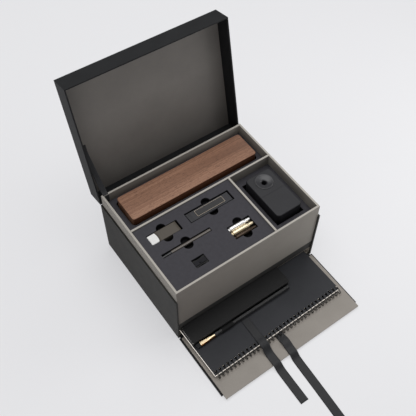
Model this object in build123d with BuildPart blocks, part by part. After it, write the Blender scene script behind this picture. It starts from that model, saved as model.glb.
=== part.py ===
from build123d import *
import math
import os

# An open presentation case for drawing pencils, with its lid leaning back and its front flap laid flat.
# The origin is the middle of the case's underside. X runs to the right, Y to the back and Z up.

os.makedirs("parts", exist_ok=True)

# Clearances
loose = 0.3  # round a piece that lifts out, turns or slides
lid_fit = 0.4  # between the lid's side walls and the tray

# Case boards
case_width = 310.0
case_depth = 243.0
side_height = 130.0
side_board = 3.0
thin_board = 2.5
front_set_back = 3.0  # the tray's front stands this far behind the sides' front edges
rim_height = 158.5
tray_wall = 4.0
tray_floor_top = 47.0
rail_bottom = 23.0
ceiling_lining = 1.2
cheek_lining = 1.5
rim_round = 0.8

# Cells of the tray and the foam in them
walnut_cell_depth = 87.5
sharpener_cell_width = 90.0
tool_foam_drop = 2.5  # below the rim
walnut_foam_drop = 20.5
sharpener_foam_drop = 23.5
tool_foam_depth = 30.0
walnut_foam_depth = 26.0
finger_notch = 9.0  # radius

# Lid and flap
lid_open_angle = 102.0
lid_head_room = 5.7  # over the tray's rim when the lid is shut
lid_lining_depth = 2.5
flap_short_of_side = 1.0
flap_lining_overhang = 9.5
hinge_cloth = 0.4
lid_hinge_cloth_height = 40.0

# Stay ribbon of the lid
stay_width = 8.0
stay_from_wall = 4.0  # from the tray's inner wall to the ribbon's middle
stay_in_tray = 20.0
stay_on_lid = 94.0  # along the lid, from its hinge
stay_sewn = 18.0

# Walnut box, which fills its cell but for a border of foam
walnut_left_border = 17.0
walnut_right_border = 11.0
walnut_back_border = 11.5
walnut_depth = 57.5
walnut_height = 36.0
walnut_lid_height = 6.0
walnut_wall = 6.0
walnut_corner = 5.0
walnut_pocket_depth = 22.0
walnut_margin = 2.5
tongue = 3.0

# Desk sharpener
sharpener_width = 56.0
sharpener_depth = 98.0
sharpener_height = 107.5
sharpener_corner = 8.0
sharpener_top_round = 2.0
sharpener_right_border = 14.5
sharpener_front_border = 21.0
sharpener_margin = 2.0
sharpener_end_margin = 3.6
bin_depth = 49.4
bin_wall = 2.0
funnel_radius = 14.5
funnel_from_back = 22.0
funnel_depth = 5.0
funnel_mouth = 10.5
pencil_hole = 4.4
pencil_hole_depth = 40.0

# Eraser with its card sleeve
eraser_length = 57.6
eraser_width = 19.8
eraser_height = 10.8
eraser_from_divider = 31.0
eraser_shift = -0.6  # from an even spacing of the back row
sleeve_length = 43.0
sleeve_wall = 0.7
sleeve_scoop = 4.0
eraser_end_gap = 3.6

# Clear case of leads
lead_case_length = 91.7
lead_case_width = 21.7
lead_case_height = 10.0
lead_case_lid_height = 2.0
lead_case_wall = 1.2
lead_case_ledge = 1.0
lead_case_room = 0.8
lead_case_from_divider = 29.75
lead_case_shift = 0.6
label_length = 58.0
label_width = 13.0
label_card = 0.4
label_shift = 0.5

# Pencil extender
rod_radius = 3.9
rod_length = 97.5
rod_tip_length = 18.0
rod_tip_radius = 2.5
rod_from_left = 65.75
rod_shift = -0.5  # from the middle of the cell's depth
rod_below_foam = 0.6

# Point guards
guard_radius = 4.65
guard_length = 46.4
guard_from_divider = 40.6
guard_pitch = 9.6
guard_from_front = 49.6
guard_count = 3
guard_neck_radius = 4.0
guard_mouth_length = 9.5
guard_tail_length = 5.0
guard_bore = 3.4
guard_bore_length = 38.0
guard_grooves = 5
groove_depth = 0.35

# Wedge sharpener
wedge_length = 24.4
wedge_width = 15.6
wedge_height = 11.0
wedge_low_height = 7.5
wedge_from_left = 63.5
wedge_from_front = 26.25
wedge_margin = 1.4
wedge_waist = 1.6
wedge_hole = 4.1
wedge_hole_floor = 0.8
blade_length = 22.0
blade_width = 8.0
blade_depth = 1.0
screw_radius = 2.3
screw_head = 0.9

# Sketch pad and its wire binding
pad_side_room = 6.8  # on each side, in the lined compartment
pad_depth = 198.0
pad_shift = -2.0
pad_drawn_out = 98.0
pad_turn = 0.8
pad_corner = 2.0
pad_bottom = 8.1
cover_card = 0.9
page_stack = 4.8
page_inset = 1.2
binding_pitch = 25.4 / 3
binding_end = 3.9  # least margin beside the row of loops
binding_shift = 1.4
wire_diameter = 1.0
loop_radius = 4.7  # to the middle of the wire
loop_set_out = 0.5  # the loops' axis stands this far before the pad's edge
twin_gap = 2.4  # between the middles of a finger's two wires
link_corner = 1.0
link_angle = -105.0
finger_sweep = 320.0
slot_length = 3.6
slot_width = 4.2
slot_inset = 3.5

# Tie ribbon. Its upper end comes over the pad and its lower end from beneath it, and both run out over
# the flap onto the table. Distances ahead are negative.
ribbon_width = 16.0
ribbon_thickness = 0.4
ribbon_clearance = 0.2
upper_end_shift = -40.0  # from the pad's middle
upper_end_ahead = -3.0  # of the pad's front edge
upper_end_drift = 1.4
lower_end_shift = -3.5
lower_end_ahead = -7.0
under_pad_drift = -8.8
lower_end_drift = 2.6
upper_end = -121.0
lower_end = -200.0
wire_rise_start = 8.0
wire_rise_end = 4.0
wire_fall_start = -2.0
wire_fall_bend = -5.5
wire_fall_end = -9.0
edge_fall = 6.0

# Slim case with the pencil loop
slim_length = 216.0
slim_depth = 37.5
slim_height = 13.5
slim_from_left = 8.2
slim_above_pad = 0.8
slim_wall = 1.6
slim_corner = 3.0
slim_cover = 1.5
slim_liner_wall = 1.0
slim_liner_proud = 0.9
slim_behind = 0.2  # more than a loose fit before the tray's front
cover_groove = 0.5
cover_groove_inset = 3.2
loop_band_width = 25.0
loop_band_from_left = 70.3
loop_band = 0.6
loop_clearance = 0.25
loop_sink = 0.4  # the loop hangs this far below the slim case's underside

# Pencil
pencil_from_left = 4.1
pencil_length = 206.4
barrel_flats = 7.0
lead_radius = 1.1
lead_length = 14.0
ferrule_length = 30.0
ferrule_collar = 8.0
ferrule_width = 8.8
ferrule_height = 4.6
tip_eraser_length = 7.7

# Places that follow from the sizes
half_width = case_width / 2
front = -case_depth / 2
back = case_depth / 2
tray_x = half_width - side_board
tray_front = front + front_set_back
tray_back = back - thin_board
inner_x = tray_x - tray_wall
inner_front = tray_front + tray_wall
inner_back = tray_back - tray_wall
shelf_bottom = tray_floor_top - thin_board
long_divider_back = inner_back - walnut_cell_depth
long_divider_front = long_divider_back - tray_wall
cross_divider_right = inner_x - sharpener_cell_width
cross_divider_left = cross_divider_right - tray_wall
floor_lining_top = thin_board + front_set_back
tool_foam_top = rim_height - tool_foam_drop
walnut_foam_top = rim_height - walnut_foam_drop
sharpener_foam_top = rim_height - sharpener_foam_drop
flap_hinge_y = front - thin_board - loose
lid_hinge_y = back + hinge_cloth + 0.1
stay_x = -inner_x + stay_from_wall
walnut_width = 2 * inner_x - walnut_left_border - walnut_right_border
walnut_x = (walnut_left_border - walnut_right_border) / 2
walnut_y = inner_back - walnut_back_border - walnut_depth / 2
sharpener_x = inner_x - sharpener_right_border - sharpener_width / 2
sharpener_y = inner_front + sharpener_front_border + sharpener_depth / 2
funnel_y = sharpener_y + sharpener_depth / 2 - funnel_from_back
slim_left = -half_width + slim_from_left
slim_x = slim_left + slim_length / 2


def block(x0, x1, y0, y1, z0, z1, mode=Mode.ADD):
    """A plain board or cut-out between the given sides."""
    with Locations(((x0 + x1) / 2, (y0 + y1) / 2, (z0 + z1) / 2)):
        Box(x1 - x0, y1 - y0, z1 - z0, mode=mode)


def rounded_block(x, y, length, width, corner, z0, z1, mode=Mode.ADD):
    """An upright block with rounded corners in plan, round the point x, y."""
    with BuildSketch(Plane.XY.offset(z0)) as outline:
        with Locations((x, y)):
            RectangleRounded(length, width, corner)
    extrude(outline.sketch, amount=z1 - z0, mode=mode)


def rounded_tray(x, y, length, width, corner, wall, z0, z1):
    """An open tray with rounded corners, a floor and walls of one thickness."""
    rounded_block(x, y, length, width, corner, z0, z1)
    rounded_block(
        x, y, length - 2 * wall, width - 2 * wall, max(corner - wall, wall / 2), z0 + wall, z1,
        mode=Mode.SUBTRACT,
    )


def save(piece, name):
    """Labels a finished piece and writes it to its own file."""
    piece.part.label = name
    export_step(piece.part, f"parts/{name}.step")


# Outer boards of the case
with BuildPart() as base_board:
    block(-tray_x, tray_x, front, tray_back, 0, thin_board)
save(base_board, "base_board")

for side, name in ((-1, "left_side"), (1, "right_side")):
    with BuildPart() as side_panel:
        with Locations((side * (half_width - side_board / 2), 0, side_height / 2)):
            Box(side_board, case_depth, side_height)
    save(side_panel, name)

with BuildPart() as back_board:
    block(-tray_x, tray_x, tray_back, back, 0, side_height)
save(back_board, "back_board")

# Compartment under the tray: padded floor, lined cheeks and ceiling, and the black rail over its mouth
with BuildPart() as compartment_floor:
    block(-tray_x, tray_x, tray_front, tray_back, thin_board, floor_lining_top)
save(compartment_floor, "compartment_floor")

with BuildPart() as compartment_lining:
    block(-tray_x, tray_x, tray_front, tray_back, floor_lining_top, rail_bottom)
    block(
        -tray_x + cheek_lining, tray_x - cheek_lining, tray_front, tray_back,
        floor_lining_top, rail_bottom - ceiling_lining, mode=Mode.SUBTRACT,
    )
save(compartment_lining, "compartment_lining")

with BuildPart() as front_rail:
    block(-tray_x, tray_x, tray_front, tray_front + side_board, rail_bottom, shelf_bottom)
save(front_rail, "front_rail")

with BuildPart() as compartment_ceiling:
    block(-tray_x, tray_x, tray_front + side_board, tray_back, rail_bottom, rail_bottom + thin_board)
save(compartment_ceiling, "compartment_ceiling")

# Tray frame, its floor and the two dividers
with BuildPart() as tray_frame:
    block(-tray_x, tray_x, tray_front, tray_back, shelf_bottom, rim_height)
    block(-inner_x, inner_x, inner_front, inner_back, shelf_bottom, rim_height, mode=Mode.SUBTRACT)
    fillet(tray_frame.faces().sort_by(Axis.Z)[-1].edges(), rim_round)
save(tray_frame, "tray_frame")

with BuildPart() as tray_floor:
    block(-inner_x, inner_x, inner_front, inner_back, shelf_bottom, tray_floor_top)
save(tray_floor, "tray_floor")

with BuildPart() as long_divider:
    block(-inner_x, inner_x, long_divider_front, long_divider_back, tray_floor_top, rim_height)
    fillet(long_divider.faces().sort_by(Axis.Z)[-1].edges().filter_by(Axis.X), rim_round)
save(long_divider, "long_divider")

with BuildPart() as cross_divider:
    block(cross_divider_left, cross_divider_right, inner_front, long_divider_front, tray_floor_top, rim_height)
    fillet(cross_divider.faces().sort_by(Axis.Z)[-1].edges().filter_by(Axis.Y), rim_round)
save(cross_divider, "cross_divider")

# Platforms that carry the foam of the two shallow cells
tool_platform_top = tool_foam_top - tool_foam_depth
with BuildPart() as tool_platform:
    block(
        -inner_x, cross_divider_left, inner_front, long_divider_front,
        tool_platform_top - thin_board, tool_platform_top,
    )
save(tool_platform, "tool_platform")

walnut_platform_top = walnut_foam_top - walnut_foam_depth
with BuildPart() as walnut_platform:
    block(
        -inner_x, inner_x, long_divider_back, inner_back,
        walnut_platform_top - thin_board, walnut_platform_top,
    )
save(walnut_platform, "walnut_platform")

# Foam round the walnut box and round the desk sharpener
walnut_seat = walnut_foam_top - walnut_pocket_depth
with BuildPart() as walnut_foam:
    block(-inner_x, inner_x, long_divider_back, inner_back, walnut_platform_top, walnut_foam_top)
    rounded_block(
        walnut_x, walnut_y, walnut_width + 2 * walnut_margin, walnut_depth + 2 * walnut_margin,
        walnut_corner + walnut_margin, walnut_seat, walnut_foam_top, mode=Mode.SUBTRACT,
    )
save(walnut_foam, "walnut_foam")

with BuildPart() as sharpener_foam:
    block(
        cross_divider_right, inner_x, inner_front, long_divider_front,
        tray_floor_top, sharpener_foam_top,
    )
    with BuildSketch(Plane.XY.offset(tray_floor_top)):
        with Locations((sharpener_x, sharpener_y)):
            Rectangle(sharpener_width + 2 * sharpener_margin, sharpener_depth + 2 * sharpener_end_margin)
    extrude(amount=sharpener_foam_top - tray_floor_top, mode=Mode.SUBTRACT)
save(sharpener_foam, "sharpener_foam")

# Foam of the tool cell, with a pocket for each tool and finger notches at the pockets' long sides. The
# eraser and the lead case share the back row, the extender lies mid-way and the rest along the front.
sleeve_height = eraser_height + 2 * sleeve_wall
sleeve_width = eraser_width + 2 * sleeve_wall
eraser_pocket = eraser_length + eraser_end_gap + loose
lead_case_pocket = lead_case_length + 2 * lead_case_room
row_gap = (inner_x + cross_divider_left - eraser_pocket - lead_case_pocket) / 3
eraser_x = -inner_x + row_gap + eraser_pocket / 2 - eraser_end_gap / 2 + eraser_shift
eraser_y = long_divider_front - eraser_from_divider
lead_case_x = cross_divider_left - row_gap - lead_case_pocket / 2 + lead_case_shift
lead_case_y = long_divider_front - lead_case_from_divider
rod_x = -inner_x + rod_from_left
rod_y = (inner_front + long_divider_front) / 2 + rod_shift
guard_x = cross_divider_left - guard_from_divider
guard_first_y = inner_front + guard_from_front
wedge_x = -inner_x + wedge_from_left
wedge_y = inner_front + wedge_from_front
rod_z = tool_foam_top - rod_below_foam - rod_radius
guard_z = tool_foam_top - loose - guard_radius
guard_row_y = guard_first_y - guard_pitch * (guard_count - 1) / 2
guard_row_width = guard_pitch * (guard_count - 1) + 2 * guard_radius
eraser_seat = tool_foam_top - sleeve_height - loose
lead_case_seat = tool_foam_top - lead_case_height - loose
rod_seat = rod_z - rod_radius - loose
guard_seat = guard_z - guard_radius - loose
wedge_seat = tool_foam_top - wedge_height - loose
foam_pockets = (
    (eraser_x + eraser_end_gap / 2, eraser_y, eraser_pocket, sleeve_width + 4 * loose,
     eraser_seat, finger_notch),
    (lead_case_x, lead_case_y, lead_case_pocket, lead_case_width + 2 * lead_case_room,
     lead_case_seat, finger_notch),
    (rod_x, rod_y, rod_length + 2 * loose, 2 * rod_radius + 2 * loose, rod_seat, finger_notch),
    (guard_x, guard_row_y, guard_length + 2 * loose, guard_row_width + 2 * loose,
     guard_seat, finger_notch),
    (wedge_x, wedge_y, wedge_length + 2 * loose, wedge_width + 2 * wedge_margin, wedge_seat, 0),
)
with BuildPart() as tool_foam:
    block(
        -inner_x, cross_divider_left, inner_front, long_divider_front,
        tool_platform_top, tool_foam_top,
    )
    for x, y, length, width, seat, notch in foam_pockets:
        with BuildSketch(Plane.XY.offset(seat)):
            with Locations((x, y)):
                Rectangle(length, width)
            if notch:
                with Locations((x, y - width / 2), (x, y + width / 2)):
                    Circle(notch)
        extrude(amount=tool_foam_top - seat, mode=Mode.SUBTRACT)
save(tool_foam, "tool_foam")

# Lid: a shallow tray of board that turns about the top edge of the back board. Its plane lies on the
# hinge line, with y towards the lid's front edge and z into the lid.
lid_lean = math.radians(180 - lid_open_angle)
lid_plane = Plane(
    origin=(0, lid_hinge_y, side_height),
    x_dir=(1, 0, 0),
    z_dir=(0, -math.sin(lid_lean), math.cos(lid_lean)),
)
lid_length = lid_hinge_y - flap_hinge_y
lid_depth = rim_height - side_height + lid_head_room + thin_board
lid_side_wall = side_board - lid_fit
lid_back_wall = lid_hinge_y - tray_back - loose
lid_front_wall = thin_board - loose
lid_inside_length = lid_length - lid_back_wall - lid_front_wall
lid_inside_width = case_width - 2 * lid_side_wall
lid_inside_middle = lid_back_wall + lid_inside_length / 2
with BuildPart() as lid_shell:
    with BuildSketch(lid_plane.offset(-lid_depth)):
        with Locations((0, lid_length / 2)):
            Rectangle(case_width, lid_length)
    extrude(amount=lid_depth - loose)
    with BuildSketch(lid_plane.offset(-lid_depth + thin_board)):
        with Locations((0, lid_inside_middle)):
            Rectangle(lid_inside_width, lid_inside_length)
    extrude(amount=lid_depth, mode=Mode.SUBTRACT)
save(lid_shell, "lid_shell")

with BuildPart() as lid_lining:
    with BuildSketch(lid_plane.offset(-lid_depth + thin_board)):
        with Locations((0, lid_inside_middle)):
            Rectangle(lid_inside_width - 2 * loose, lid_inside_length - 2 * loose)
    extrude(amount=lid_lining_depth)
save(lid_lining, "lid_lining")

# Hinge cloths, glued on the case and ending short of the turning boards
with BuildPart() as lid_hinge_cloth:
    block(-tray_x, tray_x, back, back + hinge_cloth, side_height - lid_hinge_cloth_height, side_height)
save(lid_hinge_cloth, "lid_hinge_cloth")

with BuildPart() as flap_hinge_cloth:
    block(-tray_x, tray_x, flap_hinge_y + loose, front, 0, hinge_cloth)
save(flap_hinge_cloth, "flap_hinge_cloth")

# Front flap: a black board with a padded lining that reaches past it
flap_length = side_height - flap_short_of_side
flap_lining_start = thin_board + front_set_back / 6
with BuildPart() as flap_board:
    block(-half_width, half_width, flap_hinge_y - flap_length, flap_hinge_y, 0, thin_board)
save(flap_board, "flap_board")

flap_lining_front = flap_hinge_y - flap_length - flap_lining_overhang
with BuildPart() as flap_lining:
    block(
        -tray_x + loose, tray_x - loose, flap_lining_front, flap_hinge_y - flap_lining_start,
        thin_board, floor_lining_top,
    )
save(flap_lining, "flap_lining")

# Stay ribbon: from the lid's lining, over the back rim and down inside the tray
stay_z = -lid_depth + thin_board + lid_lining_depth + ribbon_thickness
stay_lid_foot = lid_plane.from_local_coords((stay_x, stay_on_lid, stay_z))
stay_lid_end = lid_plane.from_local_coords((stay_x, stay_on_lid + stay_sewn, stay_z))
stay_over_rim = rim_height + ribbon_thickness
with BuildPart() as stay_ribbon:
    with BuildSketch(Plane.YZ.offset(stay_x)):
        with BuildLine():
            Polyline(
                (inner_back - ribbon_thickness, rim_height - stay_in_tray),
                (inner_back - ribbon_thickness, stay_over_rim),
                (tray_back, stay_over_rim),
                (stay_lid_foot.Y, stay_lid_foot.Z),
                (stay_lid_end.Y, stay_lid_end.Z),
            )
        trace(line_width=ribbon_thickness)
    extrude(amount=stay_width / 2, both=True)
save(stay_ribbon, "stay_ribbon")

# Walnut box with a lift-off lid that has a tongue inside the walls
walnut_base_top = walnut_seat + loose + walnut_height - walnut_lid_height - loose
with BuildPart() as walnut_base:
    rounded_block(
        walnut_x, walnut_y, walnut_width, walnut_depth, walnut_corner,
        walnut_seat + loose, walnut_base_top,
    )
    block(
        walnut_x - walnut_width / 2 + walnut_wall, walnut_x + walnut_width / 2 - walnut_wall,
        walnut_y - walnut_depth / 2 + walnut_wall, walnut_y + walnut_depth / 2 - walnut_wall,
        walnut_seat + loose + walnut_wall, walnut_base_top, mode=Mode.SUBTRACT,
    )
save(walnut_base, "walnut_base")

with BuildPart() as walnut_lid:
    rounded_block(
        walnut_x, walnut_y, walnut_width, walnut_depth, walnut_corner,
        walnut_base_top + loose, walnut_base_top + loose + walnut_lid_height,
    )
    fillet(walnut_lid.faces().sort_by(Axis.Z)[-1].edges(), rim_round)
    block(
        walnut_x - walnut_width / 2 + walnut_wall + loose, walnut_x + walnut_width / 2 - walnut_wall - loose,
        walnut_y - walnut_depth / 2 + walnut_wall + loose, walnut_y + walnut_depth / 2 - walnut_wall - loose,
        walnut_base_top + loose - tongue, walnut_base_top + loose,
    )
save(walnut_lid, "walnut_lid")

# Desk sharpener: one rounded housing, split into the sharpener body and the shavings bin before it
sharpener_bottom = tray_floor_top + loose
sharpener_top = sharpener_bottom + sharpener_height
sharpener_front = sharpener_y - sharpener_depth / 2
bin_back = sharpener_front + bin_depth
with BuildPart() as sharpener_body:
    rounded_block(
        sharpener_x, sharpener_y, sharpener_width, sharpener_depth, sharpener_corner,
        sharpener_bottom, sharpener_top,
    )
    fillet(sharpener_body.faces().sort_by(Axis.Z)[-1].edges(), sharpener_top_round)
    split(bisect_by=Plane.XZ.offset(-bin_back - loose), keep=Keep.BOTTOM)
    with Locations((sharpener_x, funnel_y, sharpener_top)):
        CounterBoreHole(pencil_hole, funnel_radius, funnel_depth, funnel_depth + pencil_hole_depth)
save(sharpener_body, "sharpener_body")

with BuildPart() as sharpener_bin:
    rounded_block(
        sharpener_x, sharpener_y, sharpener_width, sharpener_depth, sharpener_corner,
        sharpener_bottom, sharpener_top,
    )
    fillet(sharpener_bin.faces().sort_by(Axis.Z)[-1].edges(), sharpener_top_round)
    split(bisect_by=Plane.XZ.offset(-bin_back), keep=Keep.TOP)
    block(
        sharpener_x - sharpener_width / 2 + bin_wall, sharpener_x + sharpener_width / 2 - bin_wall,
        sharpener_front + bin_wall + sharpener_corner, bin_back,
        sharpener_bottom + bin_wall, sharpener_top - bin_wall - sharpener_top_round, mode=Mode.SUBTRACT,
    )
save(sharpener_bin, "sharpener_bin")

with BuildPart() as sharpener_funnel:
    with BuildSketch(Plane.XZ.offset(-funnel_y)):
        with BuildLine():
            Polyline(
                (sharpener_x + pencil_hole, sharpener_top - funnel_depth),
                (sharpener_x + funnel_radius, sharpener_top - funnel_depth),
                (sharpener_x + funnel_radius, sharpener_top + rim_round),
                (sharpener_x + funnel_mouth, sharpener_top + rim_round),
                (sharpener_x + pencil_hole, sharpener_top - funnel_depth / 2),
                close=True,
            )
        make_face()
    revolve(axis=Axis((sharpener_x, funnel_y, 0), (0, 0, 1)))
save(sharpener_funnel, "sharpener_funnel")

# Eraser in its sleeve, whose left edge is scooped
eraser_bottom = eraser_seat + loose + sleeve_wall
eraser_right = eraser_x + eraser_length / 2
sleeve_left = eraser_right - sleeve_length
with BuildPart() as eraser:
    with Locations((eraser_x, eraser_y, eraser_bottom + eraser_height / 2)):
        Box(eraser_length - sleeve_wall, eraser_width, eraser_height)
    fillet(eraser.edges(), 2 * rim_round)
save(eraser, "eraser")

with BuildPart() as eraser_sleeve:
    with BuildSketch(Plane.YZ.offset(sleeve_left)):
        with Locations((eraser_y, eraser_seat + loose + sleeve_height / 2)):
            Rectangle(sleeve_width, sleeve_height)
            Rectangle(eraser_width, eraser_height, mode=Mode.SUBTRACT)
    extrude(amount=sleeve_length)
    with BuildSketch(Plane.XY.offset(eraser_seat)):
        with BuildLine():
            half_scoop = sleeve_width / 2 - 2 * rim_round
            ThreePointArc(
                (sleeve_left, eraser_y - half_scoop),
                (sleeve_left + sleeve_scoop, eraser_y),
                (sleeve_left, eraser_y + half_scoop),
            )
            Line((sleeve_left, eraser_y + half_scoop), (sleeve_left, eraser_y - half_scoop))
        make_face()
    extrude(amount=2 * sleeve_height, mode=Mode.SUBTRACT)
save(eraser_sleeve, "eraser_sleeve")

# Clear case of spare leads: a tray, a lid let into its rim on a ledge, and a bare label card
lead_case_bottom = lead_case_seat + loose
lead_case_top = lead_case_bottom + lead_case_height
lead_lid_bottom = lead_case_top - lead_case_lid_height
lead_lid_inset = lead_case_wall + loose
with BuildPart() as lead_case_tray:
    rounded_tray(
        lead_case_x, lead_case_y, lead_case_length, lead_case_width, 2 * lead_case_wall,
        lead_case_wall + lead_case_ledge, lead_case_bottom, lead_case_top,
    )
    rounded_block(
        lead_case_x, lead_case_y, lead_case_length - 2 * lead_case_wall, lead_case_width - 2 * lead_case_wall,
        lead_case_wall, lead_lid_bottom - loose, lead_case_top, mode=Mode.SUBTRACT,
    )
save(lead_case_tray, "lead_case_tray")

with BuildPart() as lead_case_lid:
    rounded_block(
        lead_case_x, lead_case_y, lead_case_length - 2 * lead_lid_inset, lead_case_width - 2 * lead_lid_inset,
        lead_case_wall, lead_lid_bottom, lead_case_top,
    )
    chamfer(lead_case_lid.faces().sort_by(Axis.Z)[-1].edges(), rim_round / 2)
save(lead_case_lid, "lead_case_lid")

with BuildPart() as label_piece:
    with Locations((lead_case_x + label_shift, lead_case_y, lead_case_top + label_card / 2)):
        Box(label_length, label_width, label_card)
save(label_piece, "label_card")

# Pencil extender: a straight barrel and a tapered tip
rod_left = rod_x - rod_length / 2
rod_tip_right = rod_left + rod_tip_length
with BuildPart() as extender_barrel:
    with BuildSketch(Plane.YZ.offset(rod_tip_right)):
        with Locations((rod_y, rod_z)):
            Circle(rod_radius)
    extrude(amount=rod_length - rod_tip_length)
    fillet(extender_barrel.faces().sort_by(Axis.X)[-1].edges(), 2 * rim_round)
save(extender_barrel, "extender_barrel")

with BuildPart() as extender_tip:
    with BuildSketch(Plane.YZ.offset(rod_left)):
        with Locations((rod_y, rod_z)):
            Circle(rod_tip_radius)
    with BuildSketch(Plane.YZ.offset(rod_tip_right)):
        with Locations((rod_y, rod_z)):
            Circle(rod_radius - loose)
    loft()
save(extender_tip, "extender_tip")

# Point guards: turned metal caps with a narrow mouth and tail and grooves round the grip
guard_left = guard_x - guard_length / 2
guard_right = guard_x + guard_length / 2
grip_left = guard_left + guard_tail_length
grip_right = guard_right - guard_mouth_length
groove_pitch = (grip_right - grip_left) / (guard_grooves + 1)
guard_profile = [(guard_left, 0), (guard_left, guard_neck_radius), (grip_left, guard_neck_radius)]
guard_profile.append((grip_left, guard_radius))
for i in range(guard_grooves):
    groove_x = grip_left + groove_pitch * (i + 1)
    guard_profile.append((groove_x - groove_depth, guard_radius))
    guard_profile.append((groove_x, guard_radius - groove_depth))
    guard_profile.append((groove_x + groove_depth, guard_radius))
guard_profile += [(grip_right, guard_radius), (grip_right, guard_neck_radius)]
guard_profile += [(guard_right, guard_neck_radius), (guard_right, guard_bore)]
guard_profile += [(guard_right - guard_bore_length, guard_bore), (guard_right - guard_bore_length - guard_bore, 0)]
for i in range(guard_count):
    guard_y = guard_first_y - guard_pitch * i
    with BuildPart() as point_guard:
        with BuildSketch(Plane(origin=(0, guard_y, guard_z), z_dir=(0, -1, 0), x_dir=(1, 0, 0))):
            with BuildLine():
                Polyline(*guard_profile, close=True)
            make_face()
        revolve(axis=Axis((0, guard_y, guard_z), (1, 0, 0)))
    save(point_guard, f"point_guard_{i + 1}")

# Wedge sharpener: a metal wedge with hollowed sides, a blade on its slope and one screw
wedge_bottom = wedge_seat + loose
wedge_slope = math.atan2(wedge_height - wedge_low_height - blade_depth - screw_head, wedge_length)
slope_top = wedge_bottom + wedge_height - blade_depth - screw_head
with BuildPart() as wedge_body:
    with BuildSketch(Plane.XZ.offset(-wedge_y)):
        with BuildLine():
            Polyline(
                (wedge_x - wedge_length / 2, wedge_bottom),
                (wedge_x + wedge_length / 2, wedge_bottom),
                (wedge_x + wedge_length / 2, slope_top),
                (wedge_x - wedge_length / 2, wedge_bottom + wedge_low_height),
                close=True,
            )
        make_face()
    extrude(amount=wedge_width / 2, both=True)
    waist_radius = wedge_length
    waist_y = wedge_width / 2 + waist_radius - wedge_waist
    with BuildSketch(Plane.XY.offset(wedge_bottom)):
        with Locations((wedge_x, wedge_y - waist_y), (wedge_x, wedge_y + waist_y)):
            Circle(waist_radius)
    extrude(amount=wedge_height, mode=Mode.SUBTRACT)
    with BuildSketch(Plane.YZ.offset(wedge_x + wedge_length / 2)):
        with Locations((wedge_y, wedge_bottom + wedge_hole + wedge_hole_floor)):
            Circle(wedge_hole)
    with BuildSketch(Plane.YZ.offset(wedge_x - wedge_length / 2)):
        with Locations((wedge_y, wedge_bottom + wedge_hole + wedge_hole_floor)):
            Circle(lead_radius)
    loft(mode=Mode.SUBTRACT)
save(wedge_body, "wedge_body")

blade_plane = Plane(
    origin=(wedge_x, wedge_y, (slope_top + wedge_bottom + wedge_low_height) / 2 + 0.05),
    x_dir=(math.cos(wedge_slope), 0, math.sin(wedge_slope)),
    z_dir=(-math.sin(wedge_slope), 0, math.cos(wedge_slope)),
)
with BuildPart() as wedge_blade:
    with BuildSketch(blade_plane):
        Rectangle(blade_length, blade_width)
    extrude(amount=blade_depth)
save(wedge_blade, "wedge_blade")

with BuildPart() as wedge_screw:
    with BuildSketch(blade_plane.offset(blade_depth)):
        Circle(screw_radius)
    extrude(amount=screw_head)
    chamfer(wedge_screw.faces().sort_by(Axis.Z)[-1].edges(), screw_head / 3)
save(wedge_screw, "wedge_screw")

# Sketch pad: two card covers round a page block, with a row of slots for the wire
pad_width = 2 * (tray_x - cheek_lining - pad_side_room)
pad_x = pad_shift
pad_front_y = front - pad_drawn_out
loop_count = 1 + int((pad_width - 2 * binding_end) / binding_pitch)
pad_plane = Plane(
    origin=(pad_x, pad_front_y, 0),
    x_dir=(math.cos(math.radians(pad_turn)), math.sin(math.radians(pad_turn)), 0),
    z_dir=(0, 0, 1),
)
pages_bottom = pad_bottom + cover_card
pages_top = pages_bottom + page_stack
pad_top = pages_top + cover_card


def pad_layer(bottom, thickness, inset, name):
    """One layer of the pad, drawn in from the covers' edges by inset, with its row of slots."""
    with BuildPart() as layer:
        with BuildSketch(pad_plane.offset(bottom)):
            with Locations((0, pad_depth / 2)):
                RectangleRounded(pad_width - 2 * inset, pad_depth - 2 * inset, pad_corner)
            with Locations((binding_shift, slot_inset)):
                with GridLocations(binding_pitch, 0, loop_count, 1):
                    Rectangle(slot_width, slot_length, mode=Mode.SUBTRACT)
        extrude(amount=thickness)
    save(layer, name)


pad_layer(pad_bottom, cover_card, 0, "pad_back_cover")
pad_layer(pages_bottom, page_stack, page_inset, "pad_pages")
pad_layer(pages_top, cover_card, 0, "pad_front_cover")

# Wire binding: one wire bent into twin fingers that pass through the slots and close under the pad
loop_z = (pad_bottom + pad_top) / 2


def wire_point(x, angle, ahead=0.0):
    """A point of the wire at an angle round the loops' axis, moved ahead along the tangent."""
    turn = math.radians(angle)
    y = -loop_set_out + loop_radius * math.cos(turn) + ahead * math.sin(turn)
    z = loop_z + loop_radius * math.sin(turn) - ahead * math.cos(turn)
    return (x, y, z)


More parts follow.
